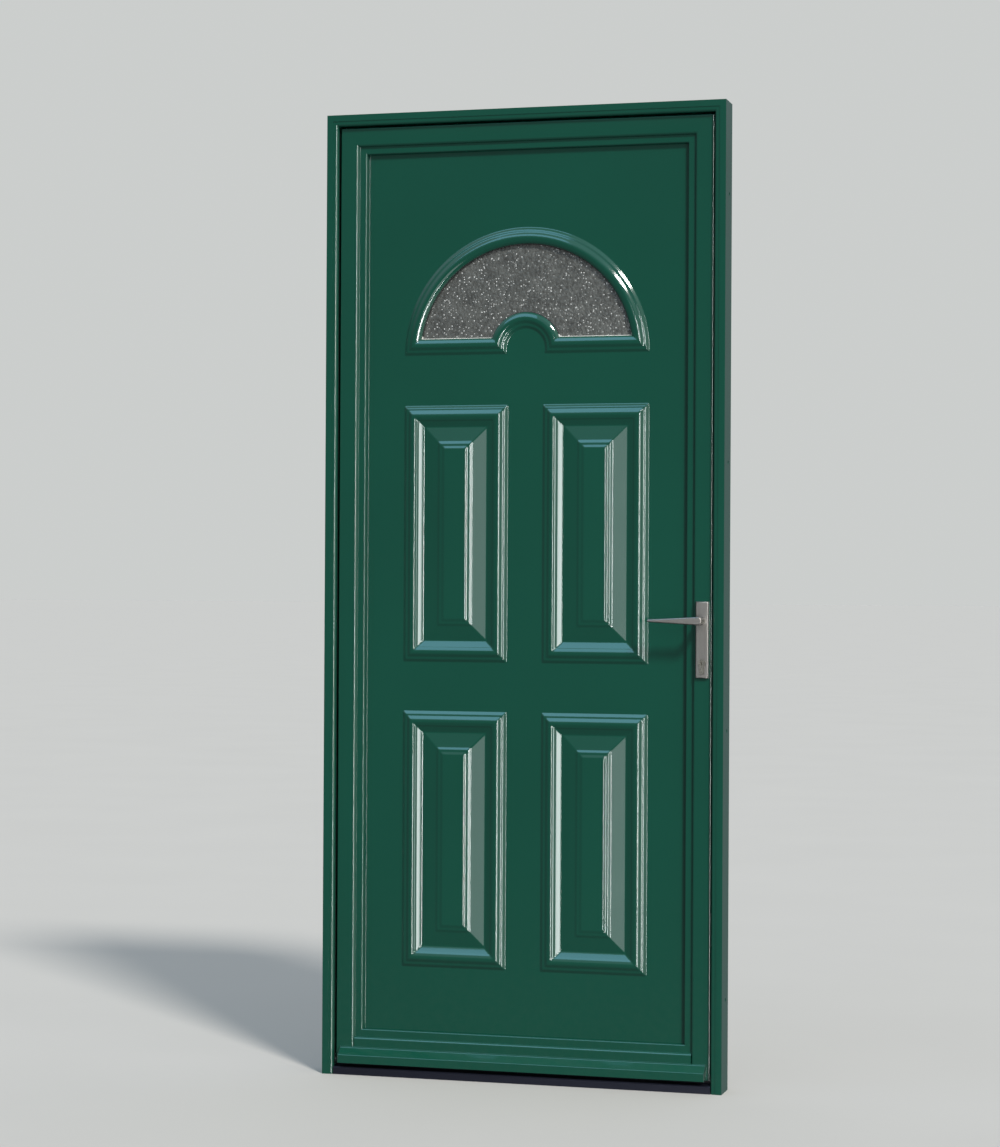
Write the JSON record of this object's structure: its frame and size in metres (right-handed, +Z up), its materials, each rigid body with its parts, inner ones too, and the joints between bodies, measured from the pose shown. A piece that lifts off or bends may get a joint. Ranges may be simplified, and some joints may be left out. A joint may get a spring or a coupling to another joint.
{
  "type": "panelled entrance door with frame",
  "caption": "Glossy green metal entrance door in its frame, with raised moulded panels, a half-round window, a weather bar, a low threshold and a slim lever handle.",
  "frame": {"origin": "on the floor under the threshold, at the middle of the frame's width and depth", "axes": "+X to the right seen from outside, -Y to the outside, +Z up"},
  "size_m": [0.91, 0.184, 2.15],
  "materials": {
    "green_paint": "gloss",
    "dark_anodised": "satin dark anodised",
    "mill_aluminium": "mill",
    "dark_plastic": "satin",
    "black_rubber": "matt",
    "pale_seal": "matt",
    "foam": "rigid insulating foam",
    "textured_glass": "cast pattern",
    "clear_glass": "clear",
    "satin_handle": "satin",
    "nickel_brass": "satin nickel",
    "zinc_steel": "zinc plated",
    "nylon": "matt"
  },
  "bodies": {
    "frame": {"frame_hinge_jamb": "green_paint", "frame_lock_jamb": "green_paint", "frame_head": "green_paint", "frame_threshold": "dark_anodised", "frame_corner_cleats": "mill_aluminium", "frame_seal": "black_rubber", "lock_keep": "zinc_steel", "bolt_keeps": "zinc_steel", "keep_screws": "zinc_steel", "hinge_frame_wings": "green_paint", "hinge_pins": "zinc_steel", "frame_wing_screws": "zinc_steel"},
    "leaf": {"leaf_hinge_stile": "green_paint", "leaf_lock_stile": "green_paint", "leaf_top_rail": "green_paint", "leaf_bottom_rail": "green_paint", "leaf_corner_cleats": "mill_aluminium", "weather_bar": "green_paint", "weather_bar_caps": "dark_plastic", "bottom_seal": "black_rubber", "leaf_seal": "black_rubber", "panel_outer_skin": "green_paint", "panel_core": "foam", "panel_inner_skin": "green_paint", "outer_glass": "textured_glass", "glass_spacer": "mill_aluminium", "inner_glass": "clear_glass", "glazing_outer_seal": "pale_seal", "glazing_inner_seal": "pale_seal", "outer_panel_gasket": "black_rubber", "inner_panel_gasket": "black_rubber", "bead_hinge_side": "green_paint", "bead_lock_side": "green_paint", "bead_top": "green_paint", "bead_bottom": "green_paint", "hinge_leaf_wings": "green_paint", "hinge_bushes": "nylon", "leaf_wing_screws": "zinc_steel", "lock_case": "zinc_steel", "upper_bolt_case": "zinc_steel", "lower_bolt_case": "zinc_steel", "lock_faceplate": "zinc_steel", "faceplate_screws": "zinc_steel", "cylinder_body": "nickel_brass", "cylinder_screw": "zinc_steel", "outside_backplate": "satin_handle", "inside_backplate": "satin_handle", "backplate_screws": "zinc_steel"},
    "handles": {"outside_lever": "satin_handle", "inside_lever": "satin_handle", "lever_spindle": "zinc_steel", "latch_follower": "zinc_steel"},
    "latch": {"latch_bolt": "zinc_steel"},
    "key_parts": {"cylinder_plugs": "nickel_brass", "cylinder_cam": "zinc_steel"},
    "bolts": {"dead_bolt": "zinc_steel", "auxiliary_bolts": "zinc_steel"},
    "rods": {"drive_rods": "zinc_steel"}
  },
  "joints": [
    {"name": "leaf_swing", "type": "hinge", "parent": "frame", "child": "leaf", "pos_m": [-0.446, 0.062, 1.075], "axis": [0, 0, 1], "range_deg": [0, 100]},
    {"name": "handle_turn", "type": "hinge", "parent": "leaf", "child": "handles", "pos_m": [0.40575, 0.015, 1.022], "axis": [0, -1, 0], "range_deg": [0, 35], "stiffness_Nm_per_rad": 3, "springref_deg": -14.32},
    {"name": "latch_slide", "type": "slide", "parent": "leaf", "child": "latch", "axis": [-1, 0, 0], "range_m": [0, 0.0121]},
    {"name": "key_turn", "type": "hinge", "parent": "leaf", "child": "key_parts", "pos_m": [0.40575, 0.015, 0.93], "axis": [0, -1, 0], "range_deg": [0, 360]},
    {"name": "bolt_slide", "type": "slide", "parent": "leaf", "child": "bolts", "axis": [1, 0, 0], "range_m": [0, 0.0201]},
    {"name": "rod_slide", "type": "slide", "parent": "leaf", "child": "rods", "axis": [0, 0, 1], "range_m": [0, 0.0201]}
  ],
  "couplings": [
    {"joint": "latch_slide", "follows": "handle_turn", "m_per_rad": 0.019644},
    {"joint": "bolt_slide", "follows": "key_turn", "m_per_rad": 0.0031831},
    {"joint": "rod_slide", "follows": "key_turn", "m_per_rad": 0.0031831}
  ]
}
